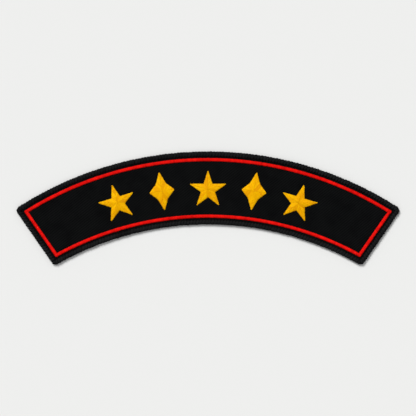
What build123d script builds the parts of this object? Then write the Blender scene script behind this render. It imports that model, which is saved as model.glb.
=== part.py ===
from build123d import *
import os
from math import cos, pi, radians, sin, sqrt

# An embroidered top rocker, a curved back patch, that lies face up on a table.
# X runs along the band and +Y points to the crown of its arch. Z = 0 is its flat back,
# and the origin is the middle of that back. Sizes are in millimetres, angles in degrees.

# Outline of the band, seen from above
patch_width = 305.0  # over the two rounded top corners
band_height = 58.4  # between the two arcs, in the middle
top_radius = 280.0  # long arc, at the crown of the arch
bottom_radius = 243.0  # short arc, flatter than one that ran parallel to the long arc
end_slant = 34.8  # of the two ends, from upright
corner_radius = 4.0  # of the four outer corners

# Twill ground with its stiff backing
ground_thickness = 1.5
rim_thickness = 1.0  # where the overlocked thread presses the rim of the cloth

# Merrowed edge, the thick overlocked thread that closes the rim
edge_web = 1.1  # thread outside the rim of the cloth
edge_grip = 2.8  # how far the thread reaches in over the rim
edge_under = 0.3  # thread under the rim
edge_over = 1.0  # thread over the rim
edge_shoulder = 1.2  # roundness of the outer top
edge_foot = 0.8  # roundness of the outer bottom
edge_lip = 0.7  # roundness of the inner top
lip_sections = [  # how far out over the edge, and how far up, in its roundness
    (0.0, 0.0),
    (0.3, 0.7),
    (1.0, 1.0),
]

# Red satin-stitched line that follows the outline
line_gap = 1.55  # bare cloth between the merrowed edge and the line
line_width = 2.5
line_height = 0.8
line_sections = [  # how far in from its side, in half widths, and how high, in heights
    (0.0, 0.0),
    (0.0, 0.35),
    (0.2, 0.8),
    (0.55, 1.0),
]

# Gold satin-stitched ornaments, spread along the middle of the band
ornament_spacing = 36.8  # from one ornament to the next, along the arch
ornament_wall = 0.4  # height of the stitches where they enter the cloth
ornament_rise = 0.85  # from there to where they meet over the padding
star_margin = 7.2  # bare cloth between a star and the red line, above and below it
star_waist = 0.472  # how far the notch lies from the centre, as a share of the straight side
lozenge_margin = 5.75
lozenge_width = 20.0
lozenge_waist = 0.8

# Running gaps between the pieces
rim_gap = 0.1  # round the rim of the cloth, in the groove of the merrowed edge
seat_gap = 0.05  # under the stitches that lie on the cloth

# The outline is drawn from the crown of the arch, and the corners are worked out first
slant = radians(end_slant)
top_centre_y = -top_radius
bottom_centre_y = -band_height - bottom_radius
corner_x = patch_width / 2 - corner_radius
corner_y = top_centre_y + sqrt((top_radius - corner_radius) ** 2 - corner_x**2)


def end_point(inset, centre_y, radius):
    """Where the right end, drawn that far inside its outer edge, first meets an arc."""
    x = corner_x + (corner_radius - inset) * cos(slant)
    y = corner_y - (corner_radius - inset) * sin(slant) - centre_y
    along = x * sin(slant) + y * cos(slant)
    reach = along - sqrt(along**2 - x**2 - y**2 + radius**2)
    return x - reach * sin(slant), y + centre_y - reach * cos(slant)


lowest_y = end_point(corner_radius, bottom_centre_y, bottom_radius + corner_radius)[1] - corner_radius
table = Plane(origin=(0, -lowest_y / 2, 0))  # puts the middle of the patch at the origin


def draw_band(inset, rounded=False):
    """A face of the band's shape, that far inside its outer edge, in the open sketch."""
    right_top = end_point(inset, top_centre_y, top_radius - inset)
    right_bottom = end_point(inset, bottom_centre_y, bottom_radius + inset)
    left_top = (-right_top[0], right_top[1])
    left_bottom = (-right_bottom[0], right_bottom[1])
    with BuildLine() as outline:
        ThreePointArc(left_top, (0, -inset), right_top)
        Line(right_top, right_bottom)
        ThreePointArc(right_bottom, (0, -band_height + inset), left_bottom)
        Line(left_bottom, left_top)
    face = make_face(outline.edges())
    if rounded and corner_radius > inset:
        fillet(face.vertices(), corner_radius - inset)


# Twill ground: one thickness of stiffened cloth, thinner at its rim
edge_width = edge_web + edge_grip
with BuildPart() as ground:
    with BuildSketch(table):
        draw_band(edge_width + rim_gap)
    extrude(amount=ground_thickness)
    with BuildSketch(table.offset(edge_under + rim_gap)):
        draw_band(edge_web + rim_gap, rounded=True)
    extrude(amount=rim_thickness)

# Merrowed edge: a rounded border with a groove that holds the rim of the cloth
groove_height = rim_thickness + 2 * rim_gap
edge_height = edge_under + groove_height + edge_over
shoulder = min(edge_shoulder, 0.55 * edge_height)
foot = min(edge_foot, 0.4 * edge_height)
lip = min(edge_lip, 0.9 * edge_over)
with BuildPart() as edge:
    with BuildSketch(table):
        draw_band(0, rounded=True)
    extrude(amount=edge_height)
    crown = edge.faces().sort_by(Axis.Z)[-1]
    fillet(crown.edges(), shoulder)
    back = edge.faces().sort_by(Axis.Z)[0]
    fillet(back.edges(), foot)
    with BuildSketch(table):
        draw_band(edge_width)
    for lips_out, lips_up in lip_sections:
        with BuildSketch(table.offset(edge_height + (lips_up - 1) * lip)):
            draw_band(edge_width - lips_out * lip)
    loft(ruled=True, mode=Mode.SUBTRACT)
    with BuildSketch(table.offset(edge_under)):
        draw_band(edge_web, rounded=True)
    extrude(amount=groove_height, mode=Mode.SUBTRACT)

# Red line: one band of satin stitches with mitred corners, rounded off at both its sides
seat = ground_thickness + seat_gap
line_inset = edge_width + line_gap
with BuildPart() as red_line:
    for half_widths, heights in line_sections:
        with BuildSketch(table.offset(seat + heights * line_height)):
            draw_band(line_inset + half_widths * line_width / 2)
    loft(ruled=True)
    for half_widths, heights in line_sections:
        with BuildSketch(table.offset(seat + heights * line_height)):
            draw_band(line_inset + line_width - half_widths * line_width / 2)
    loft(ruled=True, mode=Mode.SUBTRACT)

pieces = {"twill_ground": ground, "merrowed_edge": edge, "red_line": red_line}


def draw_star(points, half_width, half_height, waist):
    """A star with straight sides in the open sketch, its middle at the sketch's origin.

    The answer is the height of its centre, from which the tips spread, over that middle.
    """
    step = radians(360 / points)
    tips = [(half_width * sin(k * step), half_height * cos(k * step)) for k in range(points)]
    heights = [y for _, y in tips]
    middle_y = (max(heights) + min(heights)) / 2
    outline = []
    for (x, y), (next_x, next_y) in zip(tips, tips[1:] + tips[:1]):
        outline.append((x, y - middle_y))
        outline.append(((x + next_x) / 2 * waist, (y + next_y) / 2 * waist - middle_y))
    with BuildLine() as star:
        Polyline(*outline, close=True)
    make_face(star.edges())
    return -middle_y


# Gold ornaments: each is as tall as its margins leave between the two long red lines.
# The feet of a five-pointed star stand cos(pi / 5) of its radius under its centre.
field_height = band_height - 2 * (line_inset + line_width)
star_radius = (field_height - 2 * star_margin) / (1 + cos(pi / 5))
lozenge_half_height = field_height / 2 - lozenge_margin
middle_radius = top_radius - band_height / 2

# Shapes as points, half width, half height and waist, and ornaments as name, place and shape
star = (5, star_radius, star_radius, star_waist)
lozenge = (4, lozenge_width / 2, lozenge_half_height, lozenge_waist)
ornaments = [
    ("left_star", -2, star),
    ("left_lozenge", -1, lozenge),
    ("middle_star", 0, star),
    ("right_lozenge", 1, lozenge),
    ("right_star", 2, star),
]
for name, place, shape in ornaments:
    turn = place * ornament_spacing / middle_radius
    spot = Plane(
        origin=table.from_local_coords(
            (middle_radius * sin(turn), top_centre_y + middle_radius * cos(turn), seat)
        ),
        x_dir=(cos(turn), -sin(turn), 0),
        z_dir=(0, 0, 1),
    )
    with BuildPart() as ornament:
        with BuildSketch(spot):
            centre = draw_star(*shape)
        extrude(amount=ornament_wall)
        peak = spot.from_local_coords((0, centre, ornament_wall + ornament_rise))
        loft([ornament.faces().sort_by(Axis.Z)[-1], Vertex(peak)], ruled=True)
    pieces[name] = ornament

os.makedirs("parts", exist_ok=True)
for name, piece in pieces.items():
    piece.part.label = name
    export_step(piece.part, f"parts/{name}.step")
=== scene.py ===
import math

import bpy
import numpy as np
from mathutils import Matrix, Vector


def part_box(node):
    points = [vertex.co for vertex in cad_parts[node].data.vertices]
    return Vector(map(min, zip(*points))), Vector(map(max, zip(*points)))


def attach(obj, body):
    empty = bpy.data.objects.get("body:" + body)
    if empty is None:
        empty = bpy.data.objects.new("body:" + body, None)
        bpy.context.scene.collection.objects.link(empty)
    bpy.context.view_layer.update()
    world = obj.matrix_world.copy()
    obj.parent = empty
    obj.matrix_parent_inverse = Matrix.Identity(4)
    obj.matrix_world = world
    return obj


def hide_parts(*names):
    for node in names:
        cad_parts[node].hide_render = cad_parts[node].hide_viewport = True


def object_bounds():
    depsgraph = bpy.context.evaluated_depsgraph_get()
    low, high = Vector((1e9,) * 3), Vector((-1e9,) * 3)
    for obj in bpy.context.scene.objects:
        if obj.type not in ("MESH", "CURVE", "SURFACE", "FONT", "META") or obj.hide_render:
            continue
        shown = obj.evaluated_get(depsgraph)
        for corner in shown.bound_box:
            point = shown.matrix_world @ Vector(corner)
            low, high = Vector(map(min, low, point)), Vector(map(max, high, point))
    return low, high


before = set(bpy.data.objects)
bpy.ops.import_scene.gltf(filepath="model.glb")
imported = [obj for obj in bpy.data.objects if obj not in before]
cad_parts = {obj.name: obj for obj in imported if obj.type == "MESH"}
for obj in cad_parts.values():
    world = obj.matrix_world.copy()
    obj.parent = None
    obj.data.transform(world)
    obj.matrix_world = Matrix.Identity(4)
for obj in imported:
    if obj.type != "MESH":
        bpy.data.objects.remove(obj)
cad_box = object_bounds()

bpy.ops.object.select_all(action="DESELECT")

# Camera
# The patch is looked at squarely, as in the photograph, so the camera hangs over its middle.
# A long lens keeps the ends of the band free of perspective.
camera_height = 2.0
image_share = 0.92  # of the image's width, that the patch takes up
patch_low, patch_high = cad_box
patch_width = patch_high.x - patch_low.x
bpy.ops.object.camera_add(location=(0, 0, camera_height), rotation=(0, 0, 0))
camera = bpy.context.object
camera.data.lens = camera.data.sensor_width * camera_height * image_share / patch_width
camera.data.clip_end = 100
bpy.context.scene.camera = camera

# Twill ground
# One sheet of black polyester-cotton twill, bonded to a stiff backing and cut to the band's shape.
# The stitching pulls it down a little wherever a needle went through, and its rim lies pressed
# thin inside the merrowed edge.
mm = 0.001
band_height = 58.4 * mm
top_radius = 280.0 * mm
bottom_radius = 243.0 * mm
end_slant = math.radians(34.8)
corner_radius = 4.0 * mm
edge_width = 3.9 * mm
line_inset = 5.45 * mm
line_width = 2.5 * mm
ornament_spacing = 36.8 * mm
star_margin = 7.2 * mm  # bare cloth between a star and the red line
star_waist = 0.472  # how deep the notches are, as a share of the straight side between two tips
lozenge_margin = 5.75 * mm
lozenge_width = 20.0 * mm
lozenge_waist = 0.8
least_lift = 0.06 * mm  # the stiff patch lies in long, low waves, not quite flat on the floor
bow_lift = 0.14 * mm  # half the height of the waves along it
bow_length = 230 * mm
bow_start = 0.7  # of a wave, in radians, at the middle of the patch
twist_lift = 0.08 * mm  # half the height of the waves that run aslant
twist_length = 97 * mm  # along the patch
twist_width = 140 * mm  # up the patch
twist_start = 1.9

ground_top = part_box("twill_ground")[1].z
top_centre = np.array([0, patch_high.y - top_radius])
bottom_centre = np.array([0, patch_high.y - band_height - bottom_radius])
corner_x = patch_width / 2 - corner_radius
corner_y = top_centre[1] + math.sqrt((top_radius - corner_radius) ** 2 - corner_x**2)
corner = np.array([corner_x, corner_y])  # centre of the right top corner's rounding
end_out = np.array([math.cos(end_slant), -math.sin(end_slant)])  # out of the right end
end_up = np.array([math.sin(end_slant), math.cos(end_slant)])  # up along the right end


def end_point(inset, centre, radius):
    """Where the right end, drawn that far inside its outer edge, first meets an arc."""
    start = corner + (corner_radius - inset) * end_out - centre
    along = start @ end_up
    reach = along - math.sqrt(along**2 - start @ start + radius**2)
    return start - reach * end_up + centre


def top_end(inset):
    """The right top corner of the band's outline, that far inside its outer edge."""
    return end_point(inset, top_centre, top_radius - inset)


def bottom_end(inset):
    """The right bottom corner of the same outline."""
    return end_point(inset, bottom_centre, bottom_radius + inset)


def inset_at(x, y):
    """How far points lie inside the patch's outer edge."""
    end = (corner_x - abs(x)) * end_out[0] + (corner_y - y) * end_out[1] + corner_radius
    top = top_radius - np.hypot(x, y - top_centre[1])
    bottom = np.hypot(x, y - bottom_centre[1]) - bottom_radius
    return np.minimum(end, np.minimum(top, bottom))


def arc_point(centre, radius, angle):
    """Points of an arc about that centre, by their angle from upright."""
    return np.stack([centre[0] + radius * np.sin(angle), centre[1] + radius * np.cos(angle)], -1)


def lift_at(x, y):
    """How far the patch stands off the floor, where it doesn't lie quite flat."""
    bow = 1 - np.cos(2 * math.pi * x / bow_length + bow_start)
    twist = 1 + np.sin(2 * math.pi * (x / twist_length + y / twist_width) + twist_start)
    return least_lift + bow_lift * bow + twist_lift * twist


def star_outline(points, half_width, half_height, waist):
    """The tips, notches and centre of a star, about the middle of its height."""
    turns = np.arange(points) * 2 * math.pi / points
    tips = np.stack([half_width * np.sin(turns), half_height * np.cos(turns)], -1)
    notches = (tips + np.roll(tips, -1, axis=0)) / 2 * waist
    middle = np.array([0, (tips[:, 1].max() + tips[:, 1].min()) / 2])
    return tips - middle, notches - middle, -middle


field_height = band_height - 2 * (line_inset + line_width)
star_radius = (field_height - 2 * star_margin) / (1 + math.cos(math.pi / 5))
star = star_outline(5, star_radius, star_radius, star_waist)
lozenge_height = field_height - 2 * lozenge_margin
lozenge = star_outline(4, lozenge_width / 2, lozenge_height / 2, lozenge_waist)
middle_radius = top_radius - band_height / 2
ornaments = [
    ("left_star", -2, star),
    ("left_lozenge", -1, lozenge),
    ("middle_star", 0, star),
    ("right_lozenge", 1, lozenge),
    ("right_star", 2, star),
]


def set_down(points, place):
    """Points of an ornament, turned and moved to their place in the band."""
    turn = place * ornament_spacing / middle_radius
    right = np.array([math.cos(turn), -math.sin(turn)])
    up = np.array([math.sin(turn), math.cos(turn)])
    middle = arc_point(top_centre, middle_radius, turn)
    return middle + points[..., :1] * right + points[..., 1:] * up


def distance_to(x, y, start, end):
    """How far points lie from a straight edge."""
    run = end - start
    share = ((x - start[0]) * run[0] + (y - start[1]) * run[1]) / (run @ run)
    share = np.clip(share, 0, 1)
    return np.hypot(x - start[0] - share * run[0], y - start[1] - share * run[1])


def read_places(mesh):
    """The places of a mesh's vertices, a row each."""
    places = np.empty(len(mesh.vertices) * 3)
    mesh.vertices.foreach_get("co", places)
    return places.reshape(-1, 3)


def write_places(mesh, places):
    """Moves a mesh's vertices to those places."""
    mesh.vertices.foreach_set("co", places.ravel())
    mesh.update()


def linear(code):
    """A colour written as sRGB hex, as the linear colour that a shader takes."""
    parts = [int(code[i : i + 2], 16) / 255 for i in (1, 3, 5)]
    return [p / 12.92 if p <= 0.04045 else ((p + 0.055) / 1.055) ** 2.4 for p in parts] + [1]


def add_node(material, kind, inputs=(), **settings):
    """Adds a node. Settings name its own properties, or inputs that have one plain name.

    Each of `inputs` is a socket that leads in, or a value, with the input's name or number.
    """
    node = material.node_tree.nodes.new("ShaderNode" + kind)
    for name, value in settings.items():
        if hasattr(node, name):
            setattr(node, name, value)
        else:
            node.inputs[name.replace("_", " ")].default_value = value
    for source, name in inputs:
        if isinstance(source, bpy.types.NodeSocket):
            material.node_tree.links.new(source, node.inputs[name])
        else:
            node.inputs[name].default_value = source
    return node


def new_material(name):
    """An empty material with its nodes cleared."""
    material = bpy.data.materials.new(name)
    material.use_nodes = True
    material.node_tree.nodes.clear()
    return material


warp_pitch = 0.66 * mm  # of the yarns down the cloth, twice the real pitch so that they show
pick_pitch = 0.56 * mm  # of the yarns across it
weave_turn = math.radians(1.5)  # the cloth wasn't cut quite square
yarn_height = 0.35 * mm
yarn_stray = 0.5 * mm  # how far the yarns wander
stray_length = 14.3 * mm
float_picks = 4  # each yarn lies over three picks and dips under the fourth
float_dip = 0.1  # how high it still is there, as a share of its height
dip_slope = (0.1, 1.1)  # picks from the middle of a dip, between which the yarn rises
side_dip = 0.6  # how high a yarn is at its sides, as a share of its height
side_slope = 0.35  # of a yarn's width, over which it rises from its side
fibre_streaks = (6, 0.7, 1)  # across a yarn, and along it for each pick
fibre_height = 0.25  # as a share of the yarns'
cloud_size = 10.5 * mm  # of the faint clouds in the dye
cloth_inset = 2.3 * mm  # the sheet ends inside the merrowed edge
cloth_cell = 1.0 * mm
cloth_thickness = ground_top
rim_underside = 0.5 * mm
pull_depth = 0.28 * mm  # of the dent beside each row of stitches
pull_reach = 0.9 * mm

# Black twill is matt and nearly black. The dips of its yarns step along by one pick from each yarn
# to the next, which gives it fine diagonal ridges, and its dye is faintly clouded. Its colour is
# also painted darker where the yarns dip, as painted shade in the weave's hollows.
twill = new_material("black_polycotton_twill")
on_cloth = add_node(twill, "TexCoord").outputs["Object"]
strays = add_node(
    twill, "TexNoise", [(on_cloth, "Vector")], Scale=1 / stray_length, Detail=2.0
)
strayed = add_node(
    twill,
    "VectorMath",
    [(strays.outputs["Color"], 0), ([yarn_stray] * 3, 1), (on_cloth, 2)],
    operation="MULTIPLY_ADD",
)
counted = add_node(
    twill,
    "Mapping",
    [(strayed.outputs[0], "Vector")],
    Scale=(1 / warp_pitch, 1 / pick_pitch, 1),
    Rotation=(0, 0, weave_turn),
).outputs["Vector"]
counts = add_node(twill, "SeparateXYZ", [(counted, "Vector")])
yarn = add_node(twill, "Math", [(counts.outputs["X"], 0)], operation="FLOOR")
from_side = add_node(twill, "Math", [(counts.outputs["X"], 0), (0.5, 1)], operation="PINGPONG")
bulge = add_node(
    twill,
    "MapRange",
    [(from_side.outputs[0], "Value")],
    From_Max=side_slope,
    To_Min=side_dip,
    interpolation_type="SMOOTHSTEP",
)
stepped = add_node(
    twill, "Math", [(counts.outputs["Y"], 0), (yarn.outputs[0], 1)], operation="SUBTRACT"
)
from_dip = add_node(
    twill, "Math", [(stepped.outputs[0], 0), (float_picks / 2, 1)], operation="PINGPONG"
)
risen = add_node(
    twill,
    "MapRange",
    [(from_dip.outputs[0], "Value")],
    From_Min=dip_slope[0],
    From_Max=dip_slope[1],
    To_Min=float_dip,
    interpolation_type="SMOOTHSTEP",
)
weave = add_node(
    twill, "Math", [(bulge.outputs[0], 0), (risen.outputs[0], 1)], operation="MULTIPLY"
)
combed = add_node(twill, "Mapping", [(counted, "Vector")], Scale=fibre_streaks)
fibres = add_node(twill, "TexNoise", [(combed.outputs["Vector"], "Vector")], Scale=1.0)
surface = add_node(
    twill,
    "Math",
    [(fibres.outputs["Fac"], 0), (fibre_height, 1), (weave.outputs[0], 2)],
    operation="MULTIPLY_ADD",
)
clouds = add_node(
    twill, "TexNoise", [(on_cloth, "Vector")], Scale=1 / cloud_size, Detail=4.0, Roughness=0.6
)
# Painted shade: the colour follows the weave's height, darker where the yarns dip, times the dye's
# faint clouds
tone_and_painted_shade = add_node(
    twill, "Math", [(surface.outputs[0], 0), (clouds.outputs["Fac"], 1)], operation="MULTIPLY"
)
dye_and_weave_shade = add_node(twill, "ValToRGB", [(tone_and_painted_shade.outputs[0], "Fac")])
dye_and_weave_shade.color_ramp.elements[0].color = linear("#020203")
dye_and_weave_shade.color_ramp.elements[1].color = linear("#0E0F0F")
dye_and_weave_shade.color_ramp.elements[1].position = 0.6
height = add_node(
    twill, "Bump", [(surface.outputs[0], "Height")], Strength=1.0, Distance=yarn_height
)
cloth_shader = add_node(
    twill,
    "BsdfPrincipled",
    [
        (dye_and_weave_shade.outputs["Color"], "Base Color"),
        (height.outputs["Normal"], "Normal"),
        (0.03, "Specular IOR Level"),
        (0.01, "Sheen Weight"),
        (0.4, "Sheen Roughness"),
    ],
    Roughness=0.85,
)
add_node(twill, "OutputMaterial", [(cloth_shader.outputs["BSDF"], "Surface")])

top_half = math.asin(top_end(cloth_inset)[0] / (top_radius - cloth_inset))
bottom_half = math.asin(bottom_end(cloth_inset)[0] / (bottom_radius + cloth_inset))
bpy.ops.mesh.primitive_grid_add(
    x_subdivisions=round(2 * top_half * top_radius / cloth_cell),
    y_subdivisions=round(band_height / cloth_cell),
    size=2,
)
ground = bpy.context.object
ground.name = "ground_cloth"
across_band, up_band = read_places(ground.data)[:, :2].T
on_top = arc_point(top_centre, top_radius - cloth_inset, across_band * top_half)
on_bottom = arc_point(bottom_centre, bottom_radius + cloth_inset, across_band * bottom_half)
share_up = ((up_band + 1) / 2)[:, None]
x, y = (on_bottom + (on_top - on_bottom) * share_up).T
inset = inset_at(x, y)
line_middle = line_inset + line_width / 2
nearest = np.minimum(abs(inset - edge_width), abs(abs(inset - line_middle) - line_width / 2))
for _, place_along, (tips, notches, _) in ornaments:
    rim = set_down(np.stack([tips, notches], 1).reshape(-1, 2), place_along)
    for rim_start, rim_end in zip(rim, np.roll(rim, -1, axis=0)):
        nearest = np.minimum(nearest, distance_to(x, y, rim_start, rim_end))
pull = pull_depth * np.exp(-((nearest / pull_reach) ** 2))
write_places(ground.data, np.stack([x, y, ground_top - pull], -1))
ground.modifiers.new("thickness", "SOLIDIFY").thickness = cloth_thickness
ground.modifiers["thickness"].offset = -1
bpy.ops.object.modifier_apply(modifier="thickness")
bpy.ops.object.shade_smooth()
places = read_places(ground.data)
x, y, z = places.T
underside = z < ground_top / 2
places[:, 2] = np.where(underside, np.where(inset_at(x, y) < edge_width, rim_underside, 0), z)
places[:, 2] += lift_at(x, y)
write_places(ground.data, places)
ground.data.materials.append(twill)
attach(ground, "root")
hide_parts("twill_ground")

# Merrowed edge
# An overlock machine wraps the rim with thick black polyester yarn. Each stitch is three yarns
# that run aslant over the rim and back under it, and the stitches knot into a low chain along
# the outside.
edge_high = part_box("merrowed_edge")[1].z
stitch_pitch = 2.4 * mm
stitch_slant = math.radians(24)
yarn_thickness = 0.74 * mm
yarn_spacing = 0.55 * mm  # within a stitch, so that each stitch stands apart from the next
yarn_crown = 0.09 * mm  # the middle yarn stands that much higher
chain_link = (1.5 * mm, 0.5 * mm, 0.55 * mm)  # half sizes along, out of and up the rim
chain_tilt = math.radians(20)
chain_height = 1.15 * mm
guide_inset = 1.4 * mm
guide_step = 1.5 * mm
core_depth = 0.55 * mm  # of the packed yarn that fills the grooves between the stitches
core_length = 1.15  # of the pitch, so that the cores of neighbours overlap
core_cuts = (-0.25, 0, 0.25)  # where it can bend, as shares of its length
stitch_strays = (0.1 * mm, 0.07 * mm, 0.04 * mm)  # along, out of and up the rim
yarn_streaks = (5, 11, 1)  # of loose filaments, along a loop of yarn and round it
yarn_fuzz = 0.2 * mm
chance = np.random.default_rng(12)
slow_shades = 0.14  # how much the shade changes from one stretch of thread to the next
odd_shades = 0.1  # and from one stitch to the next


def band_outline(inset, step):
    """Points round the band with its rounded corners, clockwise from the left end's top."""
    out = corner_radius - inset
    top_turn = math.asin(corner_x / (top_radius - corner_radius))
    low_corner = bottom_end(corner_radius)
    low_turn = math.asin(low_corner[0] / (bottom_radius + corner_radius))
    end_turn = math.pi / 2 + end_slant
    flip = np.array([-1, 1])
    arcs = [  # centre, radius at the corners' centres, first angle, last angle
        (top_centre, top_radius - corner_radius, -top_turn, top_turn),
        (corner, 0, top_turn, end_turn),
        (low_corner, 0, end_turn, math.pi + low_turn),
        (bottom_centre, -bottom_radius - corner_radius, math.pi + low_turn, math.pi - low_turn),
        (low_corner * flip, 0, math.pi - low_turn, 2 * math.pi - end_turn),
        (corner * flip, 0, 2 * math.pi - end_turn, 2 * math.pi - top_turn),
    ]
    runs = []
    for centre, radius, first, last in arcs:
        count = math.ceil(abs((radius + out) * (last - first)) / step) + 2
        run = arc_point(centre, radius + out, np.linspace(first, last, count))
        runs.append(run if radius else run[1:-1])
    return np.concatenate(runs)


def join(pieces):
    """Joins pieces into the first of them."""
    bpy.ops.object.select_all(action="DESELECT")
    for piece in pieces:
        piece.select_set(True)
    bpy.context.view_layer.objects.active = pieces[0]
    bpy.ops.object.join()
    return pieces[0]


def streaks(count, run):
    """Shades of stitches in a row: stretches of `run` that go together, and odd ones in them."""
    spread = np.ones(run) / math.sqrt(run)
    slow = np.convolve(chance.normal(size=count + run - 1), spread, "valid")
    return np.clip(0.5 + slow_shades * slow + odd_shades * chance.normal(size=count), 0, 1)


def write_shades(mesh, shades, loose_vertices=None):
    """Keeps each stitch's shade on its vertices, which follow each other stitch by stitch.

    Where only the first vertices of a stitch are its loose threads, the rest, its core in the
    grooves, are set to the darkest tone as painted shade.
    """
    values = np.repeat(shades[:, None], len(mesh.vertices) // len(shades), axis=1)
    if loose_vertices:
        values[:, loose_vertices:] = 0
    mesh.attributes.new("tone_and_core_shade", "FLOAT", "POINT").data.foreach_set("value", values.ravel())


# Textured polyester yarn is soft and matt: loose filaments run along it, and it shines little
black_yarn = new_material("black_textured_polyester_yarn")
tone_and_core_shade = add_node(black_yarn, "Attribute", attribute_name="tone_and_core_shade")
wrap = add_node(black_yarn, "TexCoord")
combed = add_node(black_yarn, "Mapping", [(wrap.outputs["UV"], "Vector")], Scale=yarn_streaks)
filaments = add_node(
    black_yarn, "TexNoise", [(combed.outputs["Vector"], "Vector")], Scale=1.0, Detail=3.0
)
tone_and_painted_shade = add_node(
    black_yarn,
    "Math",
    [(tone_and_core_shade.outputs["Fac"], 0), (filaments.outputs["Fac"], 1)],
    operation="MULTIPLY",
)
# The darkest tone falls on the cores between the stitches, as painted shade in the grooves
tones_with_core_shade = add_node(black_yarn, "ValToRGB", [(tone_and_painted_shade.outputs[0], "Fac")])
tones_with_core_shade.color_ramp.elements[0].color = linear("#040405")
tones_with_core_shade.color_ramp.elements[1].color = linear("#151617")
tones_with_core_shade.color_ramp.elements[1].position = 0.5
fuzz = add_node(
    black_yarn, "Bump", [(filaments.outputs["Fac"], "Height")], Strength=1.0, Distance=yarn_fuzz
)
yarn_shader = add_node(
    black_yarn,
    "BsdfPrincipled",
    [
        (tones_with_core_shade.outputs["Color"], "Base Color"),
        (fuzz.outputs["Normal"], "Normal"),
        (0.1, "Specular IOR Level"),
    ],
    Roughness=0.65,
)
add_node(black_yarn, "OutputMaterial", [(yarn_shader.outputs["BSDF"], "Surface")])

yarn_radius = yarn_thickness / 2
bend_radius = edge_high / 2 - yarn_radius
middle_y = guide_inset - edge_width / 2
reach = edge_width / math.cos(stitch_slant) / 2 - yarn_radius - bend_radius
stitch = []
for side in (-1, 0, 1):
    bpy.ops.mesh.primitive_torus_add(
        major_radius=bend_radius - abs(side) * yarn_crown,
        minor_radius=yarn_radius,
        major_segments=14,
        minor_segments=6,
        location=(side * yarn_spacing, middle_y, edge_high / 2),
        rotation=(0, math.pi / 2, 0),
    )
    stitch.append(bpy.context.object)
edge = join(stitch)
bpy.ops.object.transform_apply(location=True, rotation=True, scale=True)
places = read_places(edge.data)
places[:, 1] += np.where(places[:, 1] > middle_y, reach, -reach)
write_places(edge.data, places)
bpy.ops.object.mode_set(mode="EDIT")
bpy.ops.mesh.select_all(action="SELECT")
bpy.ops.transform.rotate(value=stitch_slant, orient_axis="Z", center_override=(0, middle_y, 0))
bpy.ops.object.mode_set(mode="OBJECT")
bpy.ops.mesh.primitive_uv_sphere_add(
    segments=8,
    ring_count=6,
    radius=1,
    location=(0, guide_inset - chain_link[1], chain_height),
    rotation=(0, chain_tilt, 0),
    scale=chain_link,
)
edge = join([edge, bpy.context.object])
edge.name = "edge_stitches"
loose_vertices = len(edge.data.vertices)
bpy.ops.mesh.primitive_cylinder_add(
    vertices=8,
    radius=1,
    depth=core_length * stitch_pitch,
    location=(0, middle_y, edge_high / 2),
    rotation=(0, math.pi / 2, 0),
    scale=(edge_high / 2 - core_depth, edge_width / 2 - core_depth, 1),
)
core = bpy.context.object
bpy.ops.object.mode_set(mode="EDIT")
for cut in core_cuts:
    bpy.ops.mesh.select_all(action="SELECT")
    cut_x = cut * core_length * stitch_pitch
    bpy.ops.mesh.bisect(plane_co=(cut_x, 0, 0), plane_no=(1, 0, 0))
bpy.ops.object.mode_set(mode="OBJECT")
edge = join([edge, core])

guide_points = band_outline(guide_inset, guide_step)
guide_curve = bpy.data.curves.new("edge_guide", "CURVE")
guide_curve.dimensions = "2D"
spline = guide_curve.splines.new("POLY")
spline.points.add(len(guide_points) - 1)
for point, (x, y) in zip(spline.points, guide_points):
    point.co = (x, y, 0, 1)
spline.use_cyclic_u = True
guide = bpy.data.objects.new("edge_guide", guide_curve)
bpy.context.scene.collection.objects.link(guide)
guide_length = np.hypot(*(guide_points - np.roll(guide_points, -1, axis=0)).T).sum()
stitch_count = round(guide_length / stitch_pitch)
stitch_vertices = len(edge.data.vertices)

repeat = edge.modifiers.new("repeat", "ARRAY")
repeat.use_relative_offset = False
repeat.use_constant_offset = True
repeat.constant_offset_displace = (guide_length / stitch_count, 0, 0)
repeat.count = stitch_count
bpy.ops.object.modifier_apply(modifier="repeat")
strayed_by = chance.normal(size=(stitch_count, 3)) * stitch_strays
places = read_places(edge.data) + np.repeat(strayed_by, stitch_vertices, axis=0)
write_places(edge.data, places)
# Each stitch's core gets the darkest tone: painted shade in the grooves between the stitches
write_shades(edge.data, streaks(stitch_count, run=5), loose_vertices)
follow = edge.modifiers.new("follow", "CURVE")
follow.object = guide
follow.deform_axis = "POS_X"
bpy.ops.object.modifier_apply(modifier="follow")
bpy.data.objects.remove(guide)
bpy.ops.object.shade_smooth()
places = read_places(edge.data)
places[:, 2] += lift_at(places[:, 0], places[:, 1])
write_places(edge.data, places)
edge.data.materials.append(black_yarn)
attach(edge, "root")
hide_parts("merrowed_edge")

# Red line
# A column of satin stitches in red rayon thread, which follows the outline inside the merrowed
# edge. The threads lie side by side across the column, dive into the cloth at both its sides,
# and are cut short along the mitres.
thread_pitch = 0.45 * mm  # a little more than the real 0.4, so that the threads show
thread_width = 0.58 * mm
thread_height = 0.28 * mm
line_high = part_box("red_line")[1].z - ground_top
line_core_depth = 0.25 * mm
dive = 0.2 * mm  # how far below the cloth's face a thread's ends are
line_roundness = 2.6  # where 2 is an ellipse
least_stitch = 0.5 * mm
stitch_lean = (0.5, 0.12)  # how far stitches slant, in pitches, as a mean and a spread
ragged_sides = 0.07 * mm
line_unevenness = 0.03 * mm
mitre_crease = 0.3  # how much lower the stitches are where two sides meet
crease_power = 8  # the higher, the narrower the crease
stations = np.array([0, 0.05, 0.15, 0.35, 0.65, 0.85, 0.95, 1])  # along a stitch, as shares
twist_pitch = 1.4 * mm  # of one ply of the thread, about twice the real one
ply_height = 0.12 * mm
filament_size = (1 / 16, 1 / 2, 1)  # across and along a filament, in turns of the thread
filament_height = 0.6  # as a share of the plies'


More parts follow.
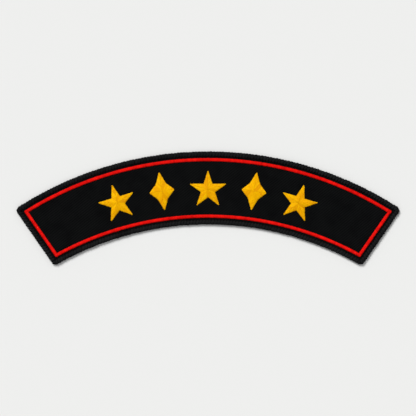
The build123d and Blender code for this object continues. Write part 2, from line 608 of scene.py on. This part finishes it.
def lay_threads(name, paths):
    """Threads along those paths, as one mesh: one is modelled, and the rest are its copies.

    A path has a point for each station, from one end of its stitch to the other.
    """
    bpy.ops.object.select_all(action="DESELECT")
    bpy.ops.mesh.primitive_cylinder_add(
        vertices=6, radius=0.5, depth=1, location=(0.5, 0, 0), rotation=(0, math.pi / 2, 0)
    )
    threads = bpy.context.object
    threads.name = name
    bpy.ops.object.transform_apply(location=True, rotation=True, scale=True)
    bpy.ops.object.mode_set(mode="EDIT")
    for station in stations[1:-1]:
        bpy.ops.mesh.select_all(action="SELECT")
        bpy.ops.mesh.bisect(plane_co=(station, 0, 0), plane_no=(1, 0, 0))
    bpy.ops.object.mode_set(mode="OBJECT")
    one = read_places(threads.data)
    uv_count = len(threads.data.loops)
    copies = threads.modifiers.new("copies", "ARRAY")
    copies.use_relative_offset = False
    copies.count = len(paths)
    bpy.ops.object.modifier_apply(modifier="copies")

    along = np.gradient(paths, axis=1)
    along /= np.linalg.norm(along, axis=-1, keepdims=True)
    run = paths[:, -1] - paths[:, 0]
    side = np.stack([-run[:, 1], run[:, 0], 0 * run[:, 0]], -1)
    side /= np.linalg.norm(side, axis=-1, keepdims=True)
    side = np.repeat(side[:, None], len(stations), axis=1)
    up = np.cross(along, side)
    at = abs(one[:, :1] - stations).argmin(1)
    width = one[:, 1][None, :, None] * thread_width
    rise = one[:, 2][None, :, None] * thread_height
    places = paths[:, at] + side[:, at] * width + up[:, at] * rise
    write_places(threads.data, places.reshape(-1, 3))

    wrap = threads.data.uv_layers.active.uv
    turns = np.empty(len(wrap) * 2)
    wrap.foreach_get("vector", turns)
    turns = turns.reshape(-1, 2)
    turns[:, 1] *= 2 * np.repeat(np.linalg.norm(run, axis=1), uv_count) / twist_pitch
    wrap.foreach_set("vector", turns.ravel())
    return threads


def start_core(node):
    """A copy of a node's form, in edit mode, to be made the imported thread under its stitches."""
    core = bpy.data.objects.new(node + "_core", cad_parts[node].data.copy())
    core.data.materials.clear()
    bpy.context.scene.collection.objects.link(core)
    bpy.ops.object.select_all(action="DESELECT")
    core.select_set(True)
    bpy.context.view_layer.objects.active = core
    bpy.ops.object.mode_set(mode="EDIT")
    bpy.ops.mesh.select_all(action="SELECT")
    bpy.ops.mesh.remove_doubles(threshold=0.01 * mm)
    return core


def column_paths(place, outer, inner):
    """Stitches across one side of the line.

    `place` gives points by how far along the side they are and by their inset. `outer` and
    `inner` are where the side starts and stops, at its outer and at its inner edge.
    """
    count = round((outer[1] - outer[0]) / thread_pitch)
    step = (outer[1] - outer[0]) / count
    along = outer[0] + (np.arange(count) + 0.5) * step
    from_start = (along - outer[0]) / (inner[0] - outer[0])
    from_stop = (outer[1] - along) / (outer[1] - inner[1])
    reach = np.clip(np.minimum(from_start, from_stop), 0, 1)
    kept = reach * line_width > least_stitch
    along, reach = along[kept], reach[kept]
    share = reach[:, None] * stations
    lean = (stations - 0.5) * chance.normal(*stitch_lean, (len(along), 1)) * step
    ends = chance.normal(0, ragged_sides, (len(along), 1)) * (2 * stations - 1)
    points = place(along[:, None] + lean, line_inset + share * line_width + ends)
    rise = (1 - abs(2 * share - 1) ** line_roundness) ** (1 / line_roundness)
    crease = np.where(reach < 1, mitre_crease, 0)[:, None] * stations**crease_power
    high = rise * (1 - crease) * (line_high + dive - thread_height / 2)
    high += chance.normal(0, line_unevenness, (len(along), 1)) * rise
    return np.concatenate([points, (ground_top - dive + high)[..., None]], -1)


def on_arc(centre, radius, inward):
    """Places along one of the long sides, by distance and inset.

    `inward` is -1 where the radius shrinks as the inset grows, and 1 where it grows too.
    """
    return lambda along, inset: arc_point(centre, radius + inward * inset, along / radius)


def on_end(flip):
    """Places along an end, by distance and inset. `flip` is 1 at the right, -1 at the left."""

    def place(along, inset):
        out = (corner_radius - inset)[..., None] * end_out
        return (corner + out + along[..., None] * end_up) * [flip, 1]

    return place


def arc_half(point, centre, radius):
    """How far along a long side a corner lies from the side's middle."""
    return math.atan2(point[0], point[1] - centre[1]) * radius


line_ends = []
for line_side_inset in (line_inset, line_inset + line_width):
    top_stop = arc_half(top_end(line_side_inset), top_centre, top_radius)
    bottom_stop = arc_half(bottom_end(line_side_inset), bottom_centre, bottom_radius)
    end_start = (bottom_end(line_side_inset) - corner) @ end_up
    end_stop = (top_end(line_side_inset) - corner) @ end_up
    line_ends.append([(-top_stop, top_stop), (-bottom_stop, bottom_stop), (end_start, end_stop)])
top_span, bottom_span, end_span = zip(*line_ends)
line_paths = [
    column_paths(on_arc(top_centre, top_radius, -1), *top_span),
    column_paths(on_end(1), *end_span),
    column_paths(on_arc(bottom_centre, bottom_radius, 1), *bottom_span),
    column_paths(on_end(-1), *end_span),
]


# Rayon thread is smooth and shines like silk. Its two plies show as fine slanting ridges, and the
# filaments in them as finer ones.
def rayon_thread(name, tone_codes, gloss_code):
    """Glossy two-ply embroidery thread. The codes are its tones from dark to light. The darkest
    also colours the core under the stitches, as painted shade between the threads.
    """
    material = new_material(name)
    tone_and_core_shade = add_node(material, "Attribute", attribute_name="tone_and_core_shade")
    tones_with_core_shade = add_node(material, "ValToRGB", [(tone_and_core_shade.outputs["Fac"], "Fac")])
    for code, element in zip(tone_codes, tones_with_core_shade.color_ramp.elements):
        element.color = linear(code)
    wrap = add_node(material, "TexCoord").outputs["UV"]
    plies = add_node(
        material,
        "TexWave",
        [(wrap, "Vector")],
        bands_direction="DIAGONAL",
        Scale=2 * math.pi / 10,  # one band for each turn round the thread or pitch along it
    )
    combed = add_node(
        material,
        "Mapping",
        [(wrap, "Vector")],
        vector_type="TEXTURE",
        Rotation=(0, 0, math.radians(45)),  # along the plies
        Scale=filament_size,
    )
    filaments = add_node(material, "TexNoise", [(combed.outputs["Vector"], "Vector")], Scale=1.0)
    relief = add_node(
        material,
        "Math",
        [(filaments.outputs["Fac"], 0), (filament_height, 1), (plies.outputs["Fac"], 2)],
        operation="MULTIPLY_ADD",
    )
    twist = add_node(
        material, "Bump", [(relief.outputs[0], "Height")], Strength=1.0, Distance=ply_height
    )
    shader = add_node(
        material,
        "BsdfPrincipled",
        [
            (tones_with_core_shade.outputs["Color"], "Base Color"),
            (twist.outputs["Normal"], "Normal"),
            (0.5, "Specular IOR Level"),
            (linear(gloss_code), "Specular Tint"),
        ],
        Roughness=0.38,
    )
    add_node(material, "OutputMaterial", [(shader.outputs["BSDF"], "Surface")])
    return material


red_thread = rayon_thread("red_rayon_thread", ("#BA0504", "#EB140D"), "#FF4840")
red_line = lay_threads("line_stitches", np.concatenate(line_paths))
write_shades(red_line.data, streaks(sum(map(len, line_paths)), run=6))
core = start_core("red_line")
bpy.ops.transform.shrink_fatten(value=-line_core_depth, use_even_offset=True)
bpy.ops.object.mode_set(mode="OBJECT")
# The core has no tone value, so it takes the darkest red, as painted shade between the threads
red_line = join([red_line, core])
bpy.ops.object.shade_smooth()
places = read_places(red_line.data)
places[:, 2] += lift_at(places[:, 0], places[:, 1])
write_places(red_line.data, places)
red_line.data.materials.append(red_thread)
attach(red_line, "root")
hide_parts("red_line")

# Gold ornaments
# Stars and lozenges in gold rayon thread. Each arm is stitched in two halves, with satin
# stitches that slant from its middle, where they lie over padding, out to its rim.
ornament_wall = 0.4 * mm
ornament_rise = 0.85 * mm
padding_share = (0.88, 0.88, 0.6)  # of the ornament, that the padding under its stitches fills
least_tip_stitch = 0.4 * mm
ridge_crease = 0.12 * mm  # of the two halves of an arm, where they meet
ridge_reach = 0.5 * mm
ragged_ends = 0.09 * mm
gold_unevenness = 0.025 * mm
rim_powers = (8, 0.25)  # the stitches stay high and then drop steeply at an ornament's rim


def half_arm_paths(centre, tip, notch):
    """Stitches that fill the triangle between an ornament's centre, a tip and a notch."""
    ridge = tip - centre
    slant = notch - centre
    longest = np.hypot(*slant)
    spread = abs(ridge[0] * slant[1] - ridge[1] * slant[0]) / longest
    count = round(spread / thread_pitch)
    out = (np.arange(count) + 0.5) / count
    out = out[(1 - out) * longest > least_tip_stitch][:, None]
    length = (1 - out) * longest
    ragged = chance.normal(0, ragged_ends, (len(out), 2))
    run = ragged[:, :1] + (length + ragged[:, 1:] - ragged[:, :1]) * stations
    points = centre + out[..., None] * ridge + run[..., None] * slant / longest
    padding = ornament_wall + ornament_rise * (1 - out) * (1 - stations)
    drop = (1 - stations ** rim_powers[0]) ** rim_powers[1]
    high = (padding + dive - thread_height / 2) * drop
    high -= ridge_crease * np.exp(-((stations * length / ridge_reach) ** 2))
    high += chance.normal(0, gold_unevenness, (len(out), 1))
    return np.concatenate([points, (ground_top - dive + high)[..., None]], -1)


gold_thread = rayon_thread("gold_rayon_thread", ("#D48800", "#F1BC00"), "#FFC438")
for node, place_along, (tips, notches, centre) in ornaments:
    halves = []
    for tip, notch, next_tip in zip(tips, notches, np.roll(tips, -1, axis=0)):
        halves.append(half_arm_paths(centre, tip, notch))
        halves.append(half_arm_paths(centre, next_tip, notch))
    shades = np.concatenate([streaks(len(half), run=4) for half in halves])
    paths = np.concatenate(halves)
    paths[..., :2] = set_down(paths[..., :2], place_along)
    piece = lay_threads(node + "_stitches", paths)
    write_shades(piece.data, shades)
    middle = set_down(centre[None], place_along)[0]
    core = start_core(node)
    bpy.ops.transform.resize(value=padding_share, center_override=(*middle, ground_top))
    bpy.ops.object.mode_set(mode="OBJECT")
    # The padding has no tone value, so it takes the darkest gold, as painted shade between the
    # threads
    piece = join([piece, core])
    bpy.ops.object.shade_smooth()
    places = read_places(piece.data)
    places[:, 2] += lift_at(places[:, 0], places[:, 1])
    write_places(piece.data, places)
    piece.data.materials.append(gold_thread)
    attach(piece, "root")
    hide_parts(node)

# Floor and light
# A pale studio floor with a low lit screen far out all round, so that a view from close above
# the floor has no horizon. The light is soft: it comes from the upper left and the whole room.
floor_size = 40
screen_radius = 10
screen_height = 1.6
bpy.ops.mesh.primitive_plane_add(size=floor_size)
floor = bpy.context.object
floor.name = "floor"
pale = new_material("pale_floor")
pale_shader = add_node(
    pale,
    "BsdfPrincipled",
    [(linear("#DADAD8"), "Base Color"), (0, "Specular IOR Level")],
    Roughness=0.9,
)
add_node(pale, "OutputMaterial", [(pale_shader.outputs["BSDF"], "Surface")])
floor.data.materials.append(pale)
bpy.ops.mesh.primitive_cylinder_add(
    vertices=96,
    radius=screen_radius,
    depth=screen_height,
    end_fill_type="NOTHING",
    location=(0, 0, screen_height / 2),
)
screen = bpy.context.object
screen.name = "screen"
glow = new_material("lit_screen")
lamp = add_node(glow, "Emission", Color=linear("#EFEFEE"), Strength=1.0)
add_node(glow, "OutputMaterial", [(lamp.outputs["Emission"], "Surface")])
screen.data.materials.append(glow)
screen.visible_diffuse = False
screen.visible_glossy = False
screen.visible_shadow = False
bpy.ops.object.light_add(type="SUN", rotation=(math.radians(-38), math.radians(-28), 0))
sun = bpy.context.object
sun.data.energy = 3.3
sun.data.angle = math.radians(25)
world = bpy.context.scene.world or bpy.data.worlds.new("room")
bpy.context.scene.world = world
world.use_nodes = True
sky = world.node_tree.nodes["Background"]
sky.inputs["Color"].default_value = linear("#F4F5F7")
sky.inputs["Strength"].default_value = 0.55
bpy.context.scene.view_settings.view_transform = "Standard"
